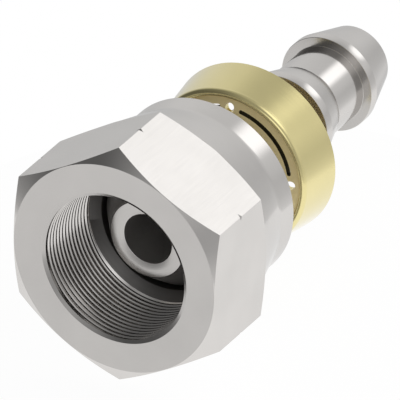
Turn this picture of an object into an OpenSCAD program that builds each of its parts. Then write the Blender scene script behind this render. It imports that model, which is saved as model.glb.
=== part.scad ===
// Hose nipple with a swivel nut: a coned steel nipple for push-on hose, in millimetres.
// The axis runs along +Y from the nut's front face, whose centre is the origin, to the tip of the tail.
// A corner of the hexagon points up, along +Z.

/* [Swivel nut] */
// Width across the flats of the hexagon
nut_af = 27; // [25:0.5:30]
// Length of the nut from its front face to the back of its collar
nut_l = 21.4; // [20:0.1:25]
// Distance from the front face to the back end of the hexagon's corners
hex_l = 10.7; // [9:0.1:12]
// Width of the front chamfer across the corners, measured along a radius
face_chamfer = 2.14; // [1.5:0.02:3]
// Angle of the front chamfer, measured from the face
face_chamfer_angle = 30; // [15:1:40]
// Angle of the chamfer behind the hexagon, measured from the face
back_chamfer_angle = 30; // [20:1:45]
// Radius of the plain collar behind the cone
collar_r = 11.77; // [11:0.02:13]
// Length of the plain collar
collar_l = 3; // [2:0.1:4]
// Depth of the marking groove, measured from the hexagon's corners
mark_depth = 0.26; // [0.1:0.02:0.6]
// Width of the marking groove at the corners
mark_w = 0.4; // [0.2:0.02:0.8]

/* [Port thread] */
// Radius of the thread's crests, which is that of the drilled hole
thread_r = 9.31; // [8.8:0.01:9.6]
// Length of the drilled hole that carries the thread
thread_l = 10.2; // [9.5:0.1:11]
// Length of full thread in front of the relief
full_thread_l = 7.5; // [5:0.1:7.6]
// Depth of the thread and of its relief
thread_depth = 0.44; // [0.2:0.02:0.6]
// Width of the chamfer at the thread's mouth, measured along a radius
mouth_chamfer = 0.43; // [0.1:0.01:0.6]
// Angle of the chamfer at the thread's mouth, measured from the face
mouth_chamfer_angle = 30; // [15:1:45]

/* [Nose, head and neck] */
// Radius of the bore through the nipple
bore_r = 3.19; // [2.5:0.01:3.6]
// Distance from the nut's front face to the front edge of the nose
nose_set = 7.72; // [7.7:0.02:9]
// Radius of the nose at its front edge
nose_r = 4.98; // [4.5:0.02:5.6]
// Depth to which the nose's end is dished
nose_dish = 0.14; // [0.05:0.01:0.4]
// Half angle of the coned nose
nose_half_angle = 35; // [28:1:40]
// Small chamfer round the nose's front edge
nose_edge = 0.1; // [0.05:0.01:0.25]
// Radius of the head behind the nose
head_r = 8.06; // [7.6:0.02:8.6]
// Length of the head's plain rim
head_l = 1.6; // [1:0.1:2.5]
// Radius of the neck that the nut turns on
neck_r = 6.2; // [5.5:0.02:7]
// Half angle of the seat behind the head
seat_half_angle = 45; // [40:1:60]

/* [Hub] */
// Radius of the hub behind the nut
hub_r = 6.94; // [6.8:0.02:7.4]
// Length of the hub from the nut to the cap
hub_l = 4.85; // [3:0.05:7]
// Chamfer on both ends of the hub
hub_chamfer = 0.2; // [0.05:0.01:0.25]

/* [Hose cap] */
// Outer radius of the cap just behind its rounded front rim
cap_front_r = 10.34; // [10:0.01:11]
// Outer radius of the cap at its open end
cap_back_r = 11.03; // [10.5:0.01:12]
// Length of the cap from its front rim to its open end
cap_l = 6.01; // [5.5:0.01:8]
// Thickness of the cap's wall
cap_wall = 0.75; // [0.5:0.01:1]
// Thickness of the web, measured along the axis
web_t = 0.8; // [0.6:0.01:1.2]
// Depth to which the web is dished between the hub and the rim
web_dish = 0.9; // [0.5:0.01:1.2]
// How far the rim's front lies behind the web's seat on the hub
rim_set = 0.12; // [0:0.01:0.5]
// Radius of the round on the inside of the front rim
rim_round = 0.4; // [0.3:0.01:0.6]
// Length over which the front rim curves outwards into the wall
rim_curve_l = 0.85; // [0.5:0.01:1.5]
// Outer radius of the crease between the web and the front rim
crease_r = 9.43; // [9:0.01:9.6]
// Radius of the circle on which the holes and slots lie
pierce_r = 8.15; // [7.9:0.01:8.4]
// Number of sight holes, with a slot between each two
hole_count = 4; // [2:1:6]
// Diameter of each sight hole
hole_d = 1.16; // [0.8:0.01:1.4]
// Width of the arc slots
slot_w = 0.44; // [0.3:0.01:0.8]
// Angle between the end of a slot and the next hole's centre
slot_margin = 9; // [8:0.5:15]

/* [Hose tail] */
// Radius of the tail between its barbs
tail_r = 4.98; // [4.6:0.01:5.3]
// Radius of the spigot that the cap is pressed on
spigot_r = 6.3; // [6.15:0.01:6.6]
// Length of the plain tail from the cap's web to the first barb
root_l = 12; // [9:0.1:16]
// Radius of both barbs at their crests
crest_r = 6.13; // [5.6:0.01:6.3]
// Length of each barb's plain crest
land_l = 1.23; // [0.8:0.01:2]
// Length of the first barb's taper
taper_l = 3.61; // [2:0.01:6]
// Length of the plain tail between the two barbs
groove_l = 5.68; // [3:0.01:8]
// Length of the end barb's nose, from its crest to the tip
tip_l = 5.73; // [4:0.01:8]
// Radius of the tail's tip
tip_r = 4.38; // [4:0.01:4.7]
// Chamfer on the tip's edges
tip_edge = 0.1; // [0.05:0.01:0.3]

/* [Fits] */
// Running clearance round the neck, measured along a radius
neck_clear = 0.08; // [0.02:0.01:0.1]
// Clearance between the head and the nut's inner wall, along a radius
head_clear = 0.12; // [0.05:0.01:0.3]
// Clearance between the head's seat and the nut's, along the axis
seat_clear = 0.15; // [0.05:0.01:0.3]
// Clearance between the back of the nut and the hub, along the axis
thrust_clear = 0.15; // [0.05:0.01:0.3]
// Clearance between the cap's web and its spigot, along a radius
cap_clear = 0.02; // [0.01:0.01:0.05]

/* [Hidden] */
$fn = 96;
STEEL = "#bab6b1";
BRASS = "#d4cb8c";
over = 1;

// Nut
flat_r = nut_af / 2;
corner_r = flat_r / cos(30);
face_r = corner_r - face_chamfer;
flat_end_y = hex_l + (corner_r - flat_r) * tan(back_chamfer_angle);
cone_end_y = nut_l - collar_l;
mark_y = hex_l * 0.57;
inner_r = head_r + head_clear;
neck_hole_r = neck_r + neck_clear;
shoulder_y = thread_l + (thread_r - inner_r) / tan(50);

// Nipple, from its nose to its tip
cone_start_r = nose_r + nose_edge;
cone_start_y = nose_set + nose_edge;
rim_y = cone_start_y + (head_r - cone_start_r) / tan(nose_half_angle);
seat_y = rim_y + head_l;
neck_y = seat_y + (head_r - neck_r) / tan(seat_half_angle);
hub_y = nut_l + thrust_clear;
web_y = hub_y + hub_l;
root_y = web_y + web_t;
barb1_y = root_y + root_l;
taper_y = barb1_y + land_l;
groove_y = taper_y + taper_l;
barb2_y = groove_y + groove_l;
land_end_y = barb2_y + land_l;
tip_y = land_end_y + tip_l;
root_chamfer = min((spigot_r - tail_r) / 2, root_l / 4);

// The nut's seat runs parallel to the head's, seat_clear behind it
nut_seat_y = seat_y + seat_clear - head_clear / tan(seat_half_angle);
nut_neck_y = nut_seat_y + (inner_r - neck_hole_r) / tan(seat_half_angle);

// Cap
rim_front_y = web_y + rim_set;
rim_end_y = rim_front_y + rim_curve_l;
rim_peak_r = crease_r + rim_round;
crease_y = web_y + web_dish;
cap_end_y = rim_front_y + cap_l;
web_hole_r = spigot_r + cap_clear;
web_seat_r = hub_r + 0.1;
flare = (cap_back_r - cap_front_r) / (cap_end_y - rim_end_y);
hole_step = 360 / hole_count;

// Turns an outline of [radius, distance from the nut's face] points round the axis
module turned(outline) {
    rotate([-90, 0, 0])
        rotate_extrude()
            polygon(outline);
}

// The cap's outer radius at a distance from the nut's face
function cap_r(y) = cap_front_r + (y - rim_end_y) * flare;

// Points of a quarter oval in the outline's plane, from one angle to the next right angle
function quarter(r, y, half_w, half_l, from, steps) = [
    for (i = [0 : steps])
        let (a = from + 90 * i / steps)
        [r + half_w * cos(a), y + half_l * sin(a)]
];

module hexagon() {
    rotate([-90, 0, 0])
        rotate([0, 0, 30])
            cylinder(r = corner_r, h = nut_l, $fn = 6);
}

// Everything that the lathe leaves of the nut's outside
module nut_outside() {
    rough_r = corner_r + over;
    turned([
        [0, 0],
        [face_r, 0],
        [rough_r, (rough_r - face_r) * tan(face_chamfer_angle)],
        [rough_r, hex_l - over * tan(back_chamfer_angle)],
        [flat_r, flat_end_y],
        [collar_r, cone_end_y],
        [collar_r, nut_l],
        [0, nut_l]
    ]);
}

// The fine groove that cuts a small notch in each corner of the hexagon
module marking_groove() {
    rough_r = corner_r + over;
    half_w = mark_w / 2;
    rough_half_w = half_w * (mark_depth + over) / mark_depth;
    turned([
        [corner_r - mark_depth, mark_y],
        [rough_r, mark_y - rough_half_w],
        [rough_r, mark_y + rough_half_w]
    ]);
}

// The hole through the nut: mouth, thread, relief, room for the head, seat and neck hole
module nut_inside() {
    relief_r = thread_r + thread_depth;
    turned([
        [0, -over],
        [thread_r + mouth_chamfer + over / tan(mouth_chamfer_angle), -over],
        [thread_r, mouth_chamfer * tan(mouth_chamfer_angle)],
        [thread_r, full_thread_l],
        [relief_r, full_thread_l + thread_depth],
        [relief_r, thread_l - thread_depth],
        [thread_r, thread_l],
        [inner_r, shoulder_y],
        [inner_r, nut_seat_y],
        [neck_hole_r, nut_neck_y],
        [neck_hole_r, nut_l + over],
        [0, nut_l + over]
    ]);
}

module swivel_nut() {
    color(STEEL)
        difference() {
            intersection() {
                hexagon();
                nut_outside();
            }
            marking_groove();
            nut_inside();
        }
}

module hose_nipple() {
    color(STEEL)
        turned([
            [bore_r, nose_set + nose_dish],
            [nose_r, nose_set],
            [cone_start_r, cone_start_y],
            [head_r, rim_y],
            [head_r, seat_y],
            [neck_r, neck_y],
            [neck_r, hub_y],
            [hub_r - hub_chamfer, hub_y],
            [hub_r, hub_y + hub_chamfer],
            [hub_r, web_y - hub_chamfer],
            [hub_r - hub_chamfer, web_y],
            [spigot_r, web_y],
            [spigot_r, root_y],
            [tail_r, root_y + root_chamfer],
            [tail_r, barb1_y],
            [crest_r, barb1_y],
            [crest_r, taper_y],
            [tail_r, groove_y],
            [tail_r, barb2_y],
            [crest_r, barb2_y],
            [crest_r, land_end_y],
            [tip_r, tip_y - tip_edge],
            [tip_r - tip_edge, tip_y],
            [bore_r + tip_edge, tip_y],
            [bore_r, tip_y - tip_edge]
        ]);
}

// The cap without its holes: a dished web, a rounded rim and a flared wall
module cap_blank() {
    turned(concat(
        [
            [web_hole_r, web_y],
            [web_seat_r, web_y],
            [crease_r, crease_y]
        ],
        quarter(rim_peak_r, rim_front_y + rim_round, rim_round, rim_round, 180, 6),
        quarter(rim_peak_r, rim_end_y, cap_front_r - rim_peak_r, rim_curve_l, 270, 8),
        [
            [cap_back_r, cap_end_y],
            [cap_back_r - cap_wall, cap_end_y],
            [cap_r(crease_y + web_t) - cap_wall, crease_y + web_t],
            [web_seat_r, root_y],
            [web_hole_r, root_y]
        ]
    ));
}

module sight_hole() {
    translate([0, web_y - over, pierce_r])
        rotate([-90, 0, 0])
            cylinder(d = hole_d, h = web_dish + web_t + 2 * over, $fn = 32);
}

// One arc slot with round ends, clockwise from the top as the nut's face shows it
module arc_slot() {
    depth = web_dish + web_t + 2 * over;
    translate([0, web_y - over, 0])
        rotate([-90, 0, 0]) {
            rotate([0, 0, slot_margin - 90])
                rotate_extrude(angle = hole_step - 2 * slot_margin)
                    translate([pierce_r - slot_w / 2, 0])
                        square([slot_w, depth]);
            for (a = [slot_margin, hole_step - slot_margin])
                rotate([0, 0, a - 90])
                    translate([pierce_r, 0])
                        cylinder(d = slot_w, h = depth, $fn = 24);
        }
}

module hose_cap() {
    color(BRASS)
        difference() {
            cap_blank();
            for (i = [0 : hole_count - 1])
                rotate([0, i * hole_step, 0]) {
                    sight_hole();
                    arc_slot();
                }
        }
}

swivel_nut();
hose_nipple();
hose_cap();
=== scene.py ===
"""Hose nipple with a swivel nut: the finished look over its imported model, in its soft white studio.

Sizes are kept in metres and turned to millimetres where a profile is drawn. The axis runs along +Y, from the
nut's front face at y = 0 to the tip of the tail, and a corner of the hexagon points up.
"""

import math

import bmesh
import bpy
from bpy.props import FloatProperty, FloatVectorProperty, IntProperty, PointerProperty
from mathutils import Matrix, Vector


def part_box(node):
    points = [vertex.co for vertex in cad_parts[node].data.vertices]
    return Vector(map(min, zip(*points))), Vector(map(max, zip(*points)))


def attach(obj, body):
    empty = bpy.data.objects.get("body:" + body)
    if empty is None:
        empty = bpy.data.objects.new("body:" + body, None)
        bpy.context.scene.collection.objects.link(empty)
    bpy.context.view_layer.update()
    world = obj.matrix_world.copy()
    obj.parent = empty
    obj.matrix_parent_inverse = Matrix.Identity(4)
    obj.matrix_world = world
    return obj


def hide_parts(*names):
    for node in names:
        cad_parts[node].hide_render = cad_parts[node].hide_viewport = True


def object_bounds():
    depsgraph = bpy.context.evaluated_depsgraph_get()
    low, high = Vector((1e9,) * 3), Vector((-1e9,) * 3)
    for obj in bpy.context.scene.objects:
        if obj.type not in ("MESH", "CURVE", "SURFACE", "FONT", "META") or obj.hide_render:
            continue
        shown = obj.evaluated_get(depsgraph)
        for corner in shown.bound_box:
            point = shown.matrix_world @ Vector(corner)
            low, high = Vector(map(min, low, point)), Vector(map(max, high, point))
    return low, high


bl_info = {
    "name": "Hose Nipple",
    "version": (1, 0, 0),
    "blender": (4, 5, 0),
    "location": "View3D > Sidebar > Hose Nipple",
    "description": "Builds a push-on hose nipple with a swivel nut, and the studio that it stands in",
    "category": "Object",
}

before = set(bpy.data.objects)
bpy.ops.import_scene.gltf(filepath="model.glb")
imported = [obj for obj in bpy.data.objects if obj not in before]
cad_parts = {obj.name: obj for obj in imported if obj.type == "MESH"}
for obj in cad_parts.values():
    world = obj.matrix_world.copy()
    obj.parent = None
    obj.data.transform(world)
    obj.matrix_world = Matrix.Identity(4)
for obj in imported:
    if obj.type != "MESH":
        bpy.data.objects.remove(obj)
CAD_BOX = [list(corner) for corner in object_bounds()]
NUT_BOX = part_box("swivel_nut")
CAP_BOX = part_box("hose_cap")
TAIL_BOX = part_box("hose_nipple")

AXIS = Vector((0, 1, 0))
ROUND = 288  # steps round the axis, a multiple of the hexagon's twelve half sides
MERGE = 0.002  # mm, points closer than this become one
HARD = math.radians(28)  # edges that turn further than this are kept hard
WEB, WEB_THICK = 26.4, 0.8  # mm, where the cap's web lies against the nipple's hub, and its thickness


def linear(hex_colour):
    """An sRGB hex colour as the linear red, green, blue and alpha that nodes take."""
    channels = [int(hex_colour.lstrip("#")[i : i + 2], 16) / 255 for i in (0, 2, 4)]
    return [c / 12.92 if c <= 0.04045 else ((c + 0.055) / 1.055) ** 2.4 for c in channels] + [1.0]


# Sizes and colours that a user would change


def length(name, description, default):
    return FloatProperty(name=name, description=description, default=default, unit="LENGTH", precision=5)


def swatch(name, description, hex_colour):
    return FloatVectorProperty(
        name=name, description=description, default=linear(hex_colour), subtype="COLOR", size=4
    )


def bearing(name, description, degrees):
    return FloatProperty(name=name, description=description, default=math.radians(degrees), subtype="ANGLE")


class SwivelNutSizes(bpy.types.PropertyGroup):
    across_flats: length("Across flats", "Width of the hexagon, for the spanner", NUT_BOX[1].x - NUT_BOX[0].x)
    whole: length("Length", "From the front face to the back of the collar", NUT_BOX[1].y)
    crest: length("Thread crest radius", "Radius of the drilled hole that the thread is cut in", 0.00931)
    pitch: length("Thread pitch", "Distance from one turn of the thread to the next", 0.000707)
    threaded: length("Threaded length", "From the front face to the end of the drilled hole", 0.01019)


class NippleSizes(bpy.types.PropertyGroup):
    bore: length("Bore radius", "Radius of the passage from the nose to the tip", 0.00319)
    tip: length("Tip", "Distance of the tail's tip from the nut's front face", TAIL_BOX[1].y)
    crest: length("Barb radius", "Radius of both barbs at their crests", 0.00613)
    tail: length("Tail radius", "Radius of the tail between its barbs", 0.00498)


class CapSizes(bpy.types.PropertyGroup):
    mouth: length("Mouth radius", "Outer radius at the open end", CAP_BOX[1].x)
    wall: length("Wall", "Thickness of the drawn sheet", 0.00075)
    hole: length("Sight hole", "Diameter of the holes that show whether the hose is home", 0.00116)
    holes: IntProperty(name="Holes", description="Sight holes, with a slot between each two", default=4)


class FinishColours(bpy.types.PropertyGroup):
    steel: swatch("Steel", "Colour of the plated steel", "#DAD7D4")
    brass: swatch("Brass", "Colour of the cap", "#EDE0A0")


class StudioSettings(bpy.types.PropertyGroup):
    azimuth: bearing("Azimuth", "Camera's turn round the object", 30.11)
    elevation: bearing("Elevation", "Camera's height above the horizon", 30.165)
    width: length("Picture width", "What the picture's width spans at the object", 0.046701)
    lens: FloatProperty(name="Lens", description="Focal length in mm, long for parallel lines", default=1600)


class HoseNippleSettings(bpy.types.PropertyGroup):
    nut: PointerProperty(type=SwivelNutSizes)
    nipple: PointerProperty(type=NippleSizes)
    cap: PointerProperty(type=CapSizes)
    colours: PointerProperty(type=FinishColours)
    studio: PointerProperty(type=StudioSettings)


# Modelling


def round_corners(bm, corners, size, segments):
    bmesh.ops.bevel(
        bm,
        geom=corners,
        offset=size,
        offset_type="OFFSET",
        segments=segments,
        profile=0.5,
        affect="VERTICES",
        material=-1,
    )


def wire_profile(points, closed):
    """A bmesh with an outline of (radius, y, rounding) points in mm, its marked corners rounded."""
    bm = bmesh.new()
    verts = [bm.verts.new((p[0], p[1], 0)) for p in points]
    ends = verts[1:] + verts[:1] if closed else verts[1:]
    for a, b in zip(verts, ends):
        bm.edges.new((a, b))
    sizes = sorted({p[2] for p in points if len(p) > 2})
    groups = [(size, [v for v, p in zip(verts, points) if len(p) > 2 and p[2] == size]) for size in sizes]
    for size, corners in groups:
        round_corners(bm, corners, size, 4)
    return bm


def lathe(points, closed=True):
    """Turns an outline once round the axis, from +X towards -Z and on."""
    bm = wire_profile(points, closed)
    bmesh.ops.spin(
        bm,
        geom=bm.verts[:] + bm.edges[:],
        cent=(0, 0, 0),
        axis=AXIS,
        angle=2 * math.pi,
        steps=ROUND,
        use_merge=True,
    )
    return bm


def keep_hard_edges(bm):
    for edge in bm.edges:
        edge.smooth = edge.is_manifold and edge.calc_face_angle(0) < HARD


def finish_mesh(bm, name):
    """Merges doubles, points the faces outwards, keeps hard edges hard, and makes the object in metres."""
    bmesh.ops.remove_doubles(bm, verts=bm.verts[:], dist=MERGE)
    bmesh.ops.dissolve_degenerate(bm, edges=bm.edges[:], dist=MERGE / 4)
    bmesh.ops.recalc_face_normals(bm, faces=bm.faces[:])
    bmesh.ops.scale(bm, vec=(0.001,) * 3, verts=bm.verts[:])
    for face in bm.faces:
        face.smooth = True
    keep_hard_edges(bm)
    mesh = bpy.data.meshes.new(name)
    bm.to_mesh(mesh)
    bm.free()
    obj = bpy.data.objects.new(name, mesh)
    bpy.context.scene.collection.objects.link(obj)
    return obj


def place(obj, body, node, slot, *materials):
    """Gives a finished piece its materials, normals that keep wide faces flat, and its place in the frame."""
    for material in materials:
        obj.data.materials.append(material)
    normals = obj.modifiers.new("normals", "WEIGHTED_NORMAL")
    normals.keep_sharp = True
    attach(obj, body)
    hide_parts(node)


# Materials

TOOL_RINGS = 6500  # per metre, so 0.15 mm from one ring to the next
PRESS_RINGS = 5000  # per metre, so 0.2 mm
DRAWN_LINES = (5000, 250, 5000)  # per metre, so a line is twenty times as long as it is wide
CLOUDS = 160.0  # per metre, so the colour changes over some 6 mm
RELIEF = 0.00002  # m, from the bottom of a pattern to its top


def new_material(name):
    material = bpy.data.materials.new(name)
    material.use_nodes = True
    material.node_tree.nodes.clear()
    return material


def add(tree, kind, settings=None, links=None):
    """Adds a node, with its settings and with what each of its sockets takes."""
    node = tree.nodes.new(kind)
    for key, value in (settings or {}).items():
        setattr(node, key, value)
    for key, value in (links or {}).items():
        if isinstance(value, bpy.types.NodeSocket):
            tree.links.new(value, node.inputs[key])
        else:
            node.inputs[key].default_value = value
    return node


def ring_coordinates(tree, per_metre):
    """Coordinates that change only with the radius and with y, so that a pattern lies in a lathe's rings."""
    place_xyz = add(tree, "ShaderNodeTexCoord").outputs["Object"]
    split = add(tree, "ShaderNodeSeparateXYZ", links={0: place_xyz})
    flat = add(tree, "ShaderNodeCombineXYZ", links={"X": split.outputs["X"], "Z": split.outputs["Z"]})
    radius = add(tree, "ShaderNodeVectorMath", {"operation": "LENGTH"}, {0: flat.outputs[0]})
    rings = add(tree, "ShaderNodeCombineXYZ", links={"X": radius.outputs["Value"], "Y": split.outputs["Y"]})
    scale = (per_metre, per_metre, 1)
    return add(tree, "ShaderNodeMapping", links={0: rings.outputs[0], "Scale": scale}).outputs[0]


def noise_range(tree, noise, low, high):
    """The middle of a noise's values, stretched to run from one number to another."""
    values = {"Value": noise.outputs["Fac"], "From Min": 0.3, "From Max": 0.7, "To Min": low, "To Max": high}
    return add(tree, "ShaderNodeMapRange", links=values).outputs[0]


def metal_surface(tree, tone, coordinates, roughness, spread, bump, **more):
    """A metal whose roughness and height follow a fine noise, and its colour a coarse, faint one."""
    fine = add(tree, "ShaderNodeTexNoise", links={"Vector": coordinates, "Scale": 1.0, "Detail": 3.0})
    rough = noise_range(tree, fine, roughness - spread, roughness + spread)
    objects = add(tree, "ShaderNodeTexCoord").outputs["Object"]
    cloud = add(tree, "ShaderNodeTexNoise", links={"Vector": objects, "Scale": CLOUDS, "Detail": 2.0})
    shade = noise_range(tree, cloud, 0.965, 1.02)
    tint = add(tree, "ShaderNodeVectorMath", {"operation": "SCALE"}, {0: tuple(tone), "Scale": shade})
    relief = add(
        tree, "ShaderNodeBump", links={"Height": fine.outputs["Fac"], "Strength": bump, "Distance": RELIEF}
    )
    shader = add(
        tree,
        "ShaderNodeBsdfPrincipled",
        links={
            "Base Color": tint.outputs[0],
            "Metallic": 1.0,
            "Roughness": rough,
            "Normal": relief.outputs[0],
            "Specular Tint": (0.86, 0.86, 0.86, 1),  # plating that stays grey at a low angle
            **more,
        },
    )
    add(tree, "ShaderNodeOutputMaterial", links={"Surface": shader.outputs[0]})


def ringed_metal(name, colour, share, per_metre, roughness, spread, bump, **more):
    """A named metal with rings, its colour a share of the plain one, or one share for each channel."""
    shares = share if isinstance(share, tuple) else (share,) * 3
    tone = [min(channel * part, 1.0) for channel, part in zip(colour, shares)]
    material = new_material(name)
    tree = material.node_tree
    metal_surface(tree, tone, ring_coordinates(tree, per_metre), roughness, spread, bump, **more)
    return material


def turned_steel(colour):
    """Bright-plated steel fresh from the lathe: a satin sheen, with tool rings too fine to count."""
    return ringed_metal("turned_steel", colour, 1.0, TOOL_RINGS, 0.13, 0.02, 0.02)


def faced_steel_painted_shade(colour):
    """Faces turned square across the bar: the same plating over a rougher cut, and its colour a good tone
    darker as painted shade, which dims what these faces reflect.
    """
    return ringed_metal("faced_steel_painted_shade", colour, 0.745, TOOL_RINGS, 0.17, 0.02, 0.02)


def hollow_steel_painted_shade(colour):
    """The nut's depth and the head that sits in it: painted shade, a dark copy of the steel for where little
    light reaches, and rougher too.
    """
    return ringed_metal("hollow_steel_painted_shade", colour, 0.24, TOOL_RINGS, 0.42, 0.04, 0.02)


def bored_steel(colour):
    """The long bore and the nose's flank, left by the tool: dull, and rough enough to carry some light in."""
    return ringed_metal("bored_steel", colour, 0.75, TOOL_RINGS, 0.42, 0.05, 0.05, Metallic=0.75)


def rolled_steel(colour):
    """The nut's back, closed down over the nipple's head by a roller, which leaves it dull and scuffed."""
    return ringed_metal("rolled_steel", colour, 0.95, TOOL_RINGS, 0.5, 0.05, 0.05, Metallic=0.35)


def drawn_steel(colour):
    """The hexagon's flats, left as the bar was drawn: faint straight lines along the axis."""
    material = new_material("drawn_steel")
    tree = material.node_tree
    objects = add(tree, "ShaderNodeTexCoord").outputs["Object"]
    lines = add(tree, "ShaderNodeMapping", links={0: objects, "Scale": DRAWN_LINES}).outputs[0]
    metal_surface(tree, colour[:3], lines, 0.16, 0.02, 0.015)
    return material


def drawn_brass(colour):
    """Pressed brass sheet under clear lacquer: a satin yellow that pales where it is seen at a low angle."""
    lacquer = {"Coat Weight": 1.0, "Coat Roughness": 0.15, "Coat IOR": 1.55}
    pale_edge = {"Specular Tint": (0.95, 0.95, 0.95, 1)}
    return ringed_metal("pressed_brass", colour, 1.0, PRESS_RINGS, 0.18, 0.03, 0.02, **lacquer, **pale_edge)


def stamped_brass_painted_light(colour):
    """The cap's web and inside, dulled by the press tool: soft and hardly reflecting, and its yellow painted
    lighter and paler as painted light, lifting it out of the nut's shade.
    """
    # painted light: shares above one make this brass lighter and paler than the drawn cap
    painted_light_lift = (1.12, 1.08, 1.25)
    return ringed_metal("stamped_brass_painted_light", colour, painted_light_lift, PRESS_RINGS, 0.42, 0.04, 0.03, Metallic=0.4)


def slot_wall_painted_shade(colour):
    """The walls of the pierced slots: painted shade, nearly black, for deep narrow slots that light hardly
    gets into.
    """
    return ringed_metal("slot_wall_painted_shade", colour, 0.05, PRESS_RINGS, 0.5, 0.05, 0.05)


def shared(finish, colour):
    """A finish's material: the one that another piece already has, or else a new one."""
    return bpy.data.materials.get(finish.__name__) or finish(colour)


# The swivel nut


def thread_wall(crest, pitch, front, end):
    """The threaded wall as a screw of V-shaped turns, faded in at the mouth and out at its end.

    Turns beyond the mouth's chamfer or the end of the hole are pressed flat there, so that the wall closes
    onto the nut's rings.
    """
    depth = pitch * 0.45
    turn = [(0.0, 0.0), (0.35, 0.0), (0.62, 1.0), (0.73, 1.0)]  # shares of the pitch and of the depth
    groove, groove_share = 0.54, 0.67  # the first groove's middle behind the face, and its share of a turn
    fade_in, fade_out, plain = 0.1, 0.3, 0.05
    start = groove - groove_share * pitch
    turns = range(-2, int(end / pitch) + 3)
    rows = [(start + (k + share) * pitch, crest + deep * depth) for k in turns for share, deep in turn]
    bm = bmesh.new()
    verts = [bm.verts.new((r, y, 0)) for y, r in rows]
    for a, b in zip(verts, verts[1:]):
        bm.edges.new((a, b))
    bmesh.ops.spin(
        bm,
        geom=bm.verts[:] + bm.edges[:],
        cent=(0, 0, 0),
        axis=AXIS,
        dvec=(0, pitch / ROUND, 0),
        angle=2 * math.pi,
        steps=ROUND,
        use_merge=False,
    )
    bmesh.ops.remove_doubles(bm, verts=bm.verts[:], dist=MERGE / 2)
    for v in bm.verts:
        y = min(max(v.co.y, front), end)
        r = math.hypot(v.co.x, v.co.z)
        risen = min(max((y - front) / fade_in, 0.0), 1.0)
        left = min(max((end - plain - y) / fade_out, 0.0), 1.0)
        wanted = crest + (r - crest) * risen * left
        v.co.x *= wanted / r
        v.co.z *= wanted / r
        v.co.y = y
    bmesh.ops.remove_doubles(bm, verts=bm.verts[:], dist=MERGE)
    return bm


def build_nut(sizes, steel, flats_steel, hole_steel_painted_shade, face_steel_painted_shade, back_steel):
    flat = sizes.across_flats * 500
    corner = flat / math.cos(math.pi / 6)
    back = sizes.whole * 1000
    crest = sizes.crest * 1000
    end = sizes.threaded * 1000
    mouth, mouth_y = crest + 0.43, 0.25
    face = corner - 2.14
    rough = corner + 1
    slope = math.tan(math.radians(30))  # of the chamfers at both ends of the hexagon
    mark, mark_depth, mark_half = 6.1, 0.26, 0.2  # the groove across the corners, with half its width
    mark_reach = mark_half * (mark_depth + 1) / mark_depth
    hexagon_end = 10.7
    collar, collar_length = 11.77, 3.0
    neck_hole, seat_end = 6.28, 16.73
    head_room, seat_start, room_start = 8.18, 14.83, 11.15
    outline = [
        (crest, mouth_y),
        (mouth, 0),
        (face, 0),
        (rough, (rough - face) * slope),
        (rough, mark - mark_reach),
        (corner - mark_depth, mark),
        (rough, mark + mark_reach),
        (rough, hexagon_end - slope),
        (flat, hexagon_end + (corner - flat) * slope, 0.3),
        (collar, back - collar_length, 0.4),
        (collar, back, 0.06),
        (neck_hole, back, 0.1),
        (neck_hole, seat_end, 0.1),
        (head_room, seat_start, 0.1),
        (head_room, room_start, 0.06),
        (crest, end),
    ]
    bm = lathe(outline, closed=False)
    # the six flats are sawn off the turned blank, one after another
    for k in range(6):
        angle = math.radians(60 * k)
        out = Vector((math.cos(angle), 0, math.sin(angle)))
        cut = bmesh.ops.bisect_plane(
            bm,
            geom=bm.verts[:] + bm.edges[:] + bm.faces[:],
            dist=1e-5,
            plane_co=out * flat,
            plane_no=out,
            clear_outer=True,
        )
        rim = [e for e in cut["geom_cut"] if isinstance(e, bmesh.types.BMEdge)]
        for face_made in bmesh.ops.contextual_create(bm, geom=rim)["faces"]:
            face_made.material_index = 1
    wall = thread_wall(crest, sizes.pitch * 1000, mouth_y, end)
    scrap = bpy.data.meshes.new("thread_wall")
    wall.to_mesh(scrap)
    wall.free()
    bm.from_mesh(scrap)
    bpy.data.meshes.remove(scrap)
    for face in bm.faces:
        middle = face.calc_center_median()
        radius = math.hypot(middle.x, middle.z)
        # painted shade: the hollow between the thread and the nut's back takes the dark steel
        if radius < crest and end < middle.y < back - 0.05:
            face.material_index = 2
        # painted shade: the front face and the mouth's chamfer take the darker faced steel
        elif middle.y < 0.001 and radius > mouth or middle.y < mouth_y - 0.001 and crest < radius < mouth:
            face.material_index = 3
        elif middle.y > back - 0.001:
            face.material_index = 4
    nut = finish_mesh(bm, "nut_with_thread")
    place(nut, "nut", "swivel_nut", "steel", steel, flats_steel, hole_steel_painted_shade, face_steel_painted_shade, back_steel)
    return nut


# The nipple


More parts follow.
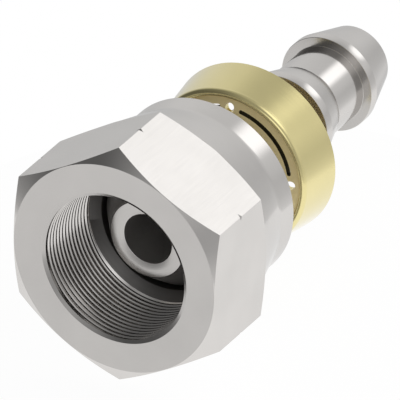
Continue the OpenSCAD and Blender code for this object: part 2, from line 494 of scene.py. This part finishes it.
def build_nipple(sizes, steel, bore_steel, hole_steel_painted_shade, face_steel_painted_shade):
    bore = sizes.bore * 1000
    tip = sizes.tip * 1000
    crest = sizes.crest * 1000
    tail = sizes.tail * 1000
    nose, head, neck, hub, spigot = 4.98, 8.06, 6.2, 6.94, 6.3
    nose_y, head_y, head_end, neck_y, hub_y = 7.72, 12.12, 13.8, 15.6, 21.55
    first_barb, end_barb, land = 39.2, 49.72, 1.23  # the barbs' square faces, and how wide their crests are
    slope_end = 44.04
    point = 4.38
    outline = [
        (bore, nose_y + 0.14, 0.05),
        (nose, nose_y, 0.1),
        (head, head_y, 0.1),
        (head, head_end, 0.1),
        (neck, neck_y, 0.1),
        (neck, hub_y),
        (hub, hub_y, 0.2),
        (hub, WEB, 0.2),
        (spigot, WEB),
        (spigot, WEB + WEB_THICK, 0.1),
        (tail, WEB + 1.46, 0.3),
        (tail, first_barb, 0.04),
        (crest, first_barb, 0.06),
        (crest, first_barb + land, 0.04),
        (tail, slope_end, 0.1),
        (tail, end_barb, 0.04),
        (crest, end_barb, 0.06),
        (crest, end_barb + land, 0.04),
        (point, tip, 0.1),
        (bore, tip, 0.08),
    ]
    bm = lathe(outline)
    bmesh.ops.recalc_face_normals(bm, faces=bm.faces[:])
    for face in bm.faces:
        middle = face.calc_center_median()
        radius = math.hypot(middle.x, middle.z)
        if radius < bore + 0.02 or radius > nose + 0.02 and middle.y < head_y - 0.12:
            face.material_index = 1
        # painted shade: the head inside the nut takes the dark steel
        elif nose - 0.08 < radius and middle.y < hub_y - 0.55:
            face.material_index = 2
        # painted shade: faces that look straight forward take the darker faced steel
        elif face.normal.y < -0.99:
            face.material_index = 3
    nipple = finish_mesh(bm, "turned_nipple")
    place(nipple, "nipple", "hose_nipple", "steel", steel, bore_steel, hole_steel_painted_shade, face_steel_painted_shade)
    return nipple


# The hose cap


def slot_cutter(bm, radius, width, start, sweep, y, depth):
    """An arc slot's cutter: a strip swept round the axis, its ends rounded, then pushed through the web."""
    turn = Matrix.Rotation(start, 4, AXIS)
    low = bm.verts.new(turn @ Vector((0, y, radius - width / 2)))
    high = bm.verts.new(turn @ Vector((0, y, radius + width / 2)))
    edge = bm.edges.new((low, high))
    before = set(bm.verts) - {low, high}
    bmesh.ops.spin(
        bm, geom=[low, high, edge], cent=(0, 0, 0), axis=AXIS, angle=sweep, steps=24, use_merge=False
    )
    mine = [v for v in bm.verts if v not in before]
    corners = [v for v in mine if len(v.link_edges) == 2]
    round_corners(bm, corners, width * 0.48, 5)
    faces = [f for f in bm.faces if not any(v in before for v in f.verts)]
    lifted = bmesh.ops.extrude_face_region(bm, geom=faces)
    moved = [v for v in lifted["geom"] if isinstance(v, bmesh.types.BMVert)]
    bmesh.ops.translate(bm, vec=(0, depth, 0), verts=moved)


def cut_out(obj, cutter):
    """Takes one object's shape out of another for good."""
    modifier = obj.modifiers.new("holes", "BOOLEAN")
    modifier.operation = "DIFFERENCE"
    modifier.solver = "EXACT"
    modifier.object = cutter
    seen = bpy.context.evaluated_depsgraph_get()
    seen.update()
    mesh = bpy.data.meshes.new_from_object(obj.evaluated_get(seen))
    obj.modifiers.clear()
    old = obj.data
    obj.data = mesh
    bpy.data.meshes.remove(old)
    old = cutter.data
    bpy.data.objects.remove(cutter)
    bpy.data.meshes.remove(old)


def build_cap(sizes, brass, edge, dull_brass_painted_light):
    wall = sizes.wall * 1000
    mouth = sizes.mouth * 1000
    front, back = 26.52, CAP_BOX[1].y * 1000
    web_hole, dish, pierced = 6.32, 7.04, 8.15  # radii of the hole, of the web's flat middle and of its holes
    crease_r, crease_y = 9.43, 27.3
    bend = crease_y + WEB_THICK
    slot_width, slot_gap = 0.44, math.radians(9)
    rim, curve = 0.4, 0.85
    front_r = 10.34
    flare = (mouth - front_r) / (back - front - curve)
    inner = front_r + (bend - front - curve) * flare - wall
    # the rim's inside is a quarter round, and its outside a longer quarter oval
    quarters = ((rim, rim, range(180, 270, 10)), (front_r - crease_r - rim, curve, range(270, 361, 6)))
    nose = [
        (crease_r + rim + width * math.cos(a), front + depth + depth * math.sin(a))
        for width, depth, angles in quarters
        for a in map(math.radians, angles)
    ]
    # rings close to the holes and slots keep their cuts from spoiling the shading of the rest of the web
    slope = (crease_y - WEB) / (crease_r - dish)
    rings = [(r, WEB + (r - dish) * slope) for r in (7.5, 7.88, 8.42, 8.8)]
    outline = [
        (web_hole, WEB),
        (dish, WEB, 0.3),
        *rings,
        (crease_r, crease_y),
        *nose,
        (mouth, back, 0.05),
        (mouth - wall, back, 0.05),
        (inner, bend, 0.35),
        (dish, WEB + WEB_THICK, 0.3),
        (web_hole, WEB + WEB_THICK),
    ]
    cap = finish_mesh(lathe(outline), "pierced_cap")
    bm = bmesh.new()
    step = 2 * math.pi / sizes.holes
    for k in range(sizes.holes):
        at = Matrix.Rotation(k * step, 4, AXIS) @ Matrix.Translation((0, WEB + 0.85, pierced))
        bmesh.ops.create_cone(
            bm,
            cap_ends=True,
            segments=40,
            radius1=sizes.hole * 500,
            radius2=sizes.hole * 500,
            depth=4,
            matrix=at @ Matrix.Rotation(math.pi / 2, 4, "X"),
        )
        slot_cutter(bm, pierced, slot_width, k * step + slot_gap, step - 2 * slot_gap, WEB - 1, 3.8)
    cut_out(cap, finish_mesh(bm, "cap_cutter"))
    bm = bmesh.new()
    bm.from_mesh(cap.data)
    keep_hard_edges(bm)
    for face in bm.faces:
        middle = face.calc_center_median() * 1000
        off = (math.atan2(middle.x, middle.z) + step / 2) % step - step / 2
        radius = math.hypot(middle.x, middle.z)
        in_cut = abs(radius - pierced) < 0.6 and abs(face.normal.y) < 0.3
        in_slot = in_cut and abs(off) > math.radians(6)
        inside = middle.y > crease_y + 0.5 and face.normal.dot((middle.x, 0, middle.z)) < 0
        # painted shade: the slots' walls take the nearly black material
        if in_slot:
            face.material_index = 1
        # painted light: the web and the cap's inside take the lightened brass
        elif not in_cut and (radius < crease_r or inside):
            face.material_index = 2
    bm.to_mesh(cap.data)
    bm.free()
    place(cap, "nipple", "hose_cap", "brass", brass, edge, dull_brass_painted_light)
    return cap


# The studio


def grey_ramp(tree, height, stops):
    """A level that follows a direction's height, from -1 straight down to 1 straight up."""
    whole = {"Value": height, "From Min": -1.0, "From Max": 1.0}
    share = add(tree, "ShaderNodeMapRange", links=whole).outputs[0]
    ramp = add(tree, "ShaderNodeValToRGB", links={"Fac": share})
    elements = ramp.color_ramp.elements
    while len(elements) < len(stops):
        elements.new(0.5)
    for element, (z, level) in zip(elements, stops):
        element.position = (z + 1) / 2
        element.color = (level, level, level, 1)
    return ramp.outputs["Color"]


def smooth_share(tree, value, low, high, level=1.0):
    """A share that rises smoothly from nothing at one value to the level at the other."""
    ends = (low, high, 0.0, level) if low < high else (high, low, level, 0.0)
    names = ("From Min", "From Max", "To Min", "To Max")
    links = {"Value": value, **dict(zip(names, ends))}
    return add(tree, "ShaderNodeMapRange", {"interpolation_type": "SMOOTHSTEP"}, links).outputs[0]


def soft_light(tree, direction, towards, stretch, inner, outer, level):
    """A round or oval light in the room, even out to one distance from its middle and gone by another."""
    away = add(tree, "ShaderNodeVectorMath", {"operation": "SUBTRACT"}, {0: direction, 1: towards}).outputs[0]
    away = add(tree, "ShaderNodeVectorMath", {"operation": "MULTIPLY"}, {0: away, 1: stretch}).outputs[0]
    away = add(tree, "ShaderNodeVectorMath", {"operation": "LENGTH"}, {0: away}).outputs["Value"]
    return smooth_share(tree, away, outer, inner, level)


def blend_levels(tree, share, low, high):
    return add(tree, "ShaderNodeMix", {"data_type": "FLOAT"}, {0: share, 2: low, 3: high}).outputs[0]


# Grey levels by height, in front of the nipple and behind it, each on its left and then on its right
FRONT_LEVELS = (
    [(-0.42, 1.0), (-0.34, 0.52), (-0.25, 0.34), (-0.1, 0.2), (0.1, 0.13), (0.45, 0.115), (0.9, 0.2)],
    [(-0.44, 1.0), (-0.36, 0.66), (-0.1, 0.45), (0.1, 0.44), (0.4, 0.37), (0.9, 0.32)],
)
REAR_LEVELS = (
    [(-0.66, 1.0), (-0.5, 0.72), (-0.38, 0.64), (-0.2, 0.69), (0.2, 0.77)]
    + [(0.4, 0.76), (0.66, 0.69), (0.85, 0.46)],
    [(-0.55, 1.0), (-0.42, 0.95), (-0.33, 0.77), (-0.2, 0.65), (0.0, 0.59)]
    + [(0.15, 0.66), (0.35, 0.74), (0.66, 0.69), (0.85, 0.46)],
)
# Each light's direction, its stretch, how far out it is even, where it is gone, and its level
LIGHTS = (
    ((0.35, 0.75, 0.56), (1, 1.6, 1), 0.1, 0.32, 0.82),  # high behind
    ((0.5, 0.22, 0.84), (1, 1, 1), 0.1, 0.46, 0.9),  # overhead
    ((0.433, -0.75, 0.5), (1, 1, 1), 0.1, 0.5, 0.8),  # at the camera
)


def room_light(tree):
    """The room as metal sees it: white below, pale grey behind, dark in front and above, with soft lights."""
    direction = add(tree, "ShaderNodeTexCoord").outputs["Generated"]
    split = add(tree, "ShaderNodeSeparateXYZ", links={0: direction})
    x, y, height = split.outputs
    front = [grey_ramp(tree, height, stops) for stops in FRONT_LEVELS]
    behind = [grey_ramp(tree, height, stops) for stops in REAR_LEVELS]
    front = blend_levels(tree, smooth_share(tree, x, -0.6, -0.05), *front)
    behind = blend_levels(tree, smooth_share(tree, x, -0.15, 0.2), *behind)
    sideways = add(tree, "ShaderNodeMath", {"operation": "MULTIPLY_ADD"}, {0: x, 1: 0.4, 2: y}).outputs[0]
    level = blend_levels(tree, smooth_share(tree, sideways, -0.2, 0.45), front, behind)
    for light in LIGHTS:
        glow = soft_light(tree, direction, *light)
        level = add(tree, "ShaderNodeMath", {"operation": "ADD"}, {0: level, 1: glow}).outputs[0]
    return level


def make_world():
    world = bpy.data.worlds.new("studio_room")
    world.use_nodes = True
    tree = world.node_tree
    tree.nodes.clear()
    rays = add(tree, "ShaderNodeLightPath")
    shade = add(
        tree,
        "ShaderNodeMix",
        {"data_type": "FLOAT"},
        {0: rays.outputs["Is Camera Ray"], 2: room_light(tree), 3: 1.0},
    )
    room = add(tree, "ShaderNodeBackground", links={"Color": (1, 1, 1, 1), "Strength": shade.outputs[0]})
    add(tree, "ShaderNodeOutputWorld", links={"Surface": room.outputs[0]})
    bpy.context.scene.world = world


FLOOR_RADIUS = 0.045  # m
FLOOR_MIDDLE = (0.005, 0.022)
OWN_WHITE = 0.95  # the floor's own glow, which the camera and the metal see
SHADED_WHITE = 0.08  # the paint's tone to them, which adds the rest of the white but where a shadow falls


def make_floor(level):
    """A round white floor that metal shows too, and that keeps a faint shadow under the nipple."""
    bm = bmesh.new()
    bmesh.ops.create_circle(bm, cap_ends=True, segments=96, radius=FLOOR_RADIUS)
    bmesh.ops.translate(bm, vec=(*FLOOR_MIDDLE, level), verts=bm.verts[:])
    mesh = bpy.data.meshes.new("floor")
    bm.to_mesh(mesh)
    bm.free()
    floor = bpy.data.objects.new("floor", mesh)
    bpy.context.scene.collection.objects.link(floor)
    material = new_material("pale_floor")
    tree = material.node_tree
    rays = add(tree, "ShaderNodeLightPath")
    seen = rays.outputs["Is Camera Ray"]
    for name in ("Is Glossy Ray", "Is Transmission Ray"):
        either = {0: seen, 1: rays.outputs[name]}
        seen = add(tree, "ShaderNodeMath", {"operation": "MAXIMUM"}, either).outputs[0]
    white = add(tree, "ShaderNodeMath", {"operation": "MULTIPLY"}, {0: seen, 1: OWN_WHITE}).outputs[0]
    white = add(tree, "ShaderNodeEmission", links={"Color": (1, 1, 1, 1), "Strength": white})
    tones = {6: linear("#F4F4F2"), 7: (SHADED_WHITE,) * 3 + (1,)}
    tone = add(tree, "ShaderNodeMix", {"data_type": "RGBA"}, {0: seen, **tones})
    paint = add(tree, "ShaderNodeBsdfDiffuse", links={"Color": tone.outputs[2]})
    both = add(tree, "ShaderNodeAddShader", links={0: paint.outputs[0], 1: white.outputs[0]})
    add(tree, "ShaderNodeOutputMaterial", links={"Surface": both.outputs[0]})
    mesh.materials.append(material)


SENSOR = 36  # mm
AIM = Vector((0.000381, 0.019275, -0.000383))  # the point in the middle of the picture


def make_camera(studio):
    azimuth, elevation = studio.azimuth, studio.elevation
    flat = math.cos(elevation)
    back = Vector((math.sin(azimuth) * flat, -math.cos(azimuth) * flat, math.sin(elevation)))
    data = bpy.data.cameras.new("camera")
    data.lens = studio.lens
    data.sensor_width = SENSOR
    distance = studio.lens / SENSOR * studio.width
    data.clip_start, data.clip_end = 0.01, distance + 4
    camera = bpy.data.objects.new("camera", data)
    camera.location = AIM + back * distance
    camera.rotation_euler = back.to_track_quat("Z", "Y").to_euler()
    bpy.context.scene.collection.objects.link(camera)
    bpy.context.scene.camera = camera


# Operators and panel


class HOSENIPPLE_OT_studio(bpy.types.Operator):
    """Sets up the camera, the white floor and the room that lights the nipple"""

    bl_idname = "hose_nipple.studio"
    bl_label = "Set Up Studio"

    def execute(self, context):
        settings = context.scene.hose_nipple
        context.scene.view_settings.view_transform = "Standard"
        make_camera(settings.studio)
        make_world()
        make_floor(CAD_BOX[0][2])
        return {"FINISHED"}


class HOSENIPPLE_OT_swivel_nut(bpy.types.Operator):
    """Makes the threaded hexagon nut that turns on the nipple"""

    bl_idname = "hose_nipple.swivel_nut"
    bl_label = "Swivel Nut"

    def execute(self, context):
        settings = context.scene.hose_nipple
        finishes = (turned_steel, drawn_steel, hollow_steel_painted_shade, faced_steel_painted_shade, rolled_steel)
        build_nut(settings.nut, *(finish(settings.colours.steel) for finish in finishes))
        return {"FINISHED"}


class HOSENIPPLE_OT_nipple(bpy.types.Operator):
    """Makes the turned nipple, from its coned nose to the tip of its barbed tail"""

    bl_idname = "hose_nipple.nipple"
    bl_label = "Turned Nipple"

    def execute(self, context):
        settings = context.scene.hose_nipple
        finishes = (turned_steel, bored_steel, hollow_steel_painted_shade, faced_steel_painted_shade)
        build_nipple(settings.nipple, *(shared(finish, settings.colours.steel) for finish in finishes))
        return {"FINISHED"}


class HOSENIPPLE_OT_cap(bpy.types.Operator):
    """Makes the pressed brass cap that takes the hose's cut end"""

    bl_idname = "hose_nipple.cap"
    bl_label = "Hose Cap"

    def execute(self, context):
        settings = context.scene.hose_nipple
        brass = settings.colours.brass
        build_cap(settings.cap, drawn_brass(brass), slot_wall_painted_shade(brass), stamped_brass_painted_light(brass))
        return {"FINISHED"}


class HOSENIPPLE_PT_sidebar(bpy.types.Panel):
    """Lists the nipple's pieces and its studio"""

    bl_label = "Hose Nipple"
    bl_space_type = "VIEW_3D"
    bl_region_type = "UI"
    bl_category = "Hose Nipple"

    def draw(self, context):
        settings = context.scene.hose_nipple
        for title, group, operator in (
            ("Swivel nut", settings.nut, HOSENIPPLE_OT_swivel_nut),
            ("Nipple", settings.nipple, HOSENIPPLE_OT_nipple),
            ("Cap", settings.cap, HOSENIPPLE_OT_cap),
            ("Colours", settings.colours, None),
            ("Studio", settings.studio, HOSENIPPLE_OT_studio),
        ):
            box = self.layout.box()
            box.label(text=title)
            for name in group.__annotations__:
                box.prop(group, name)
            if operator:
                box.operator(operator.bl_idname)


CLASSES = (
    SwivelNutSizes,
    NippleSizes,
    CapSizes,
    FinishColours,
    StudioSettings,
    HoseNippleSettings,
    HOSENIPPLE_OT_studio,
    HOSENIPPLE_OT_swivel_nut,
    HOSENIPPLE_OT_nipple,
    HOSENIPPLE_OT_cap,
    HOSENIPPLE_PT_sidebar,
)


def register():
    for cls in CLASSES:
        bpy.utils.register_class(cls)
    bpy.types.Scene.hose_nipple = PointerProperty(type=HoseNippleSettings)


def unregister():
    del bpy.types.Scene.hose_nipple
    for cls in reversed(CLASSES):
        bpy.utils.unregister_class(cls)


def main():
    register()
    bpy.ops.hose_nipple.studio()
    bpy.ops.hose_nipple.swivel_nut()
    bpy.ops.hose_nipple.nipple()
    bpy.ops.hose_nipple.cap()


if __name__ == "__main__":
    main()
